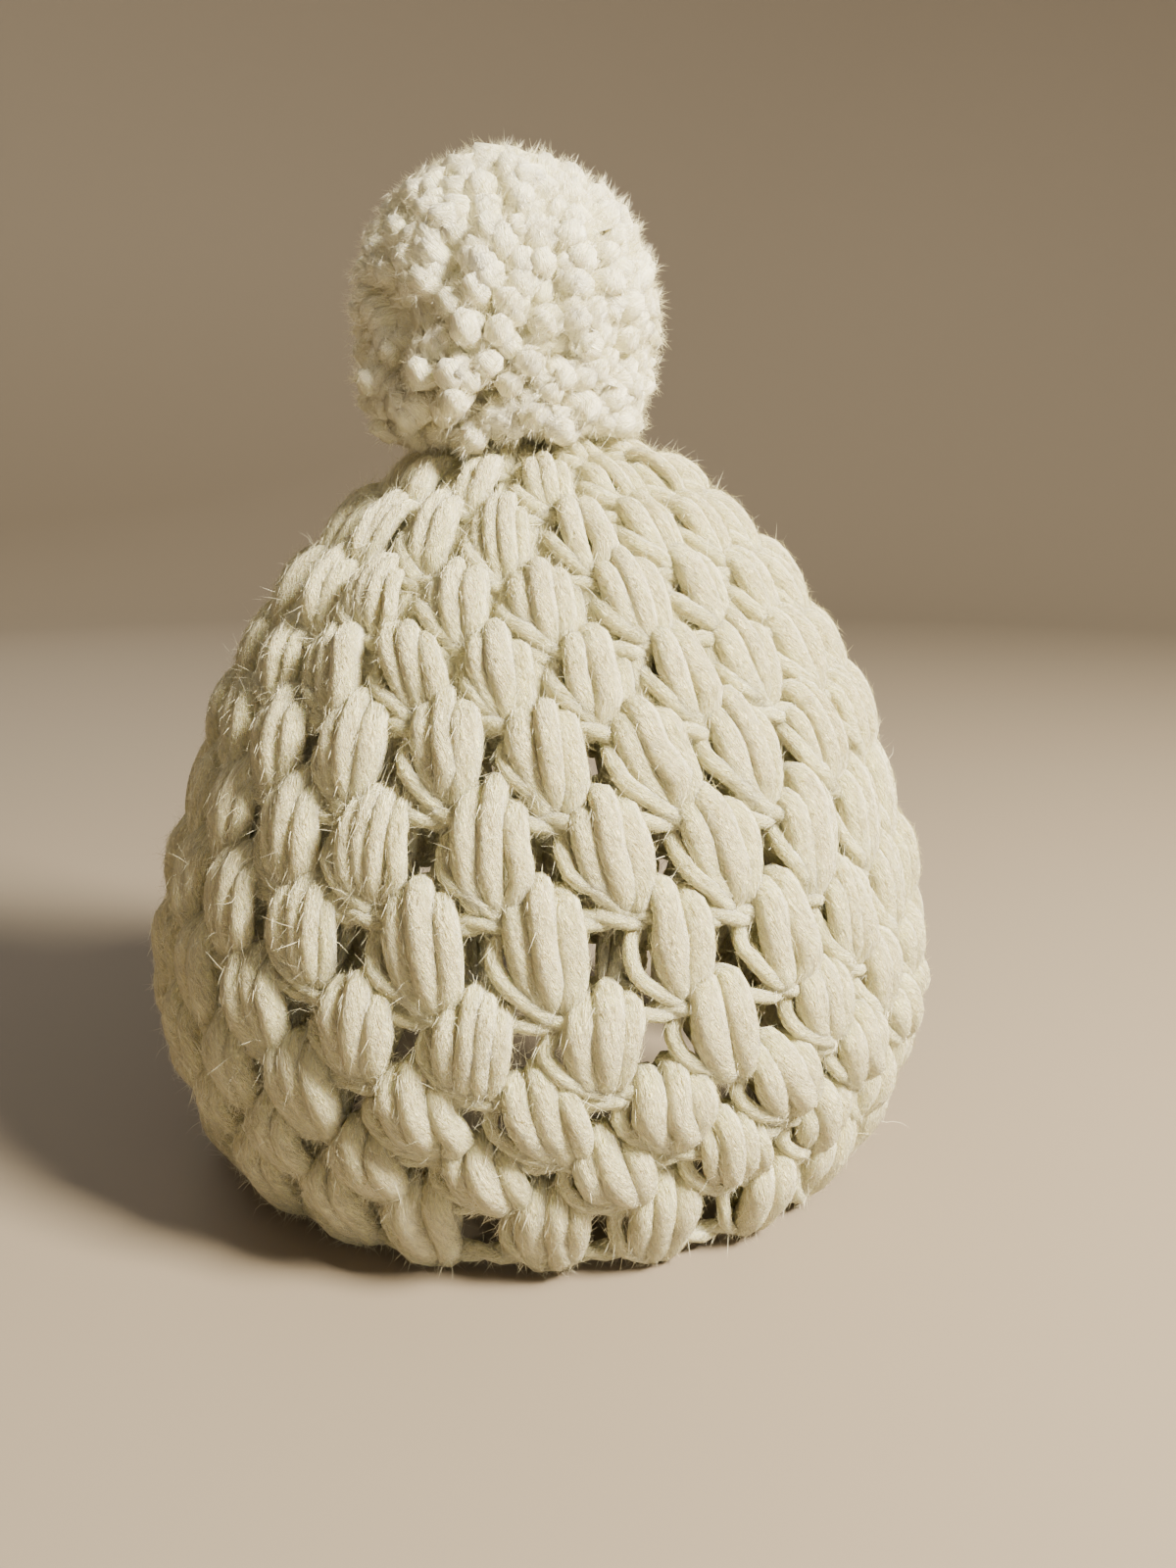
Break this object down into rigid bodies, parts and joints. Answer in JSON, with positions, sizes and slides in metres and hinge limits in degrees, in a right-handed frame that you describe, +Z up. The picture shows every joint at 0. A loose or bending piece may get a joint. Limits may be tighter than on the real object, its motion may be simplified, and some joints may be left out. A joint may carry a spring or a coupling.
{
  "type": "crocheted tea cosy",
  "caption": "Hollow dome of raised puff-stitch crochet in thick cream yarn, slotted each side for a spout and a handle, with a pompom on its closed crown.",
  "frame": {"origin": "middle of the hem, on the surface that the cosy stands on", "axes": "+Z up through the crown, +X to the spout slot, -X to the handle slot, -Y to the front"},
  "size_m": [0.1738, 0.1763, 0.2182],
  "materials": {
    "crochet_yarn": "soft matt single-ply yarn with a fuzzy halo",
    "pompom_yarn": "cut yarn, teased out and fluffy"
  },
  "bodies": {
    "root": {"cosy_body": "crochet_yarn", "pompom": "pompom_yarn"}
  },
  "joints": []
}
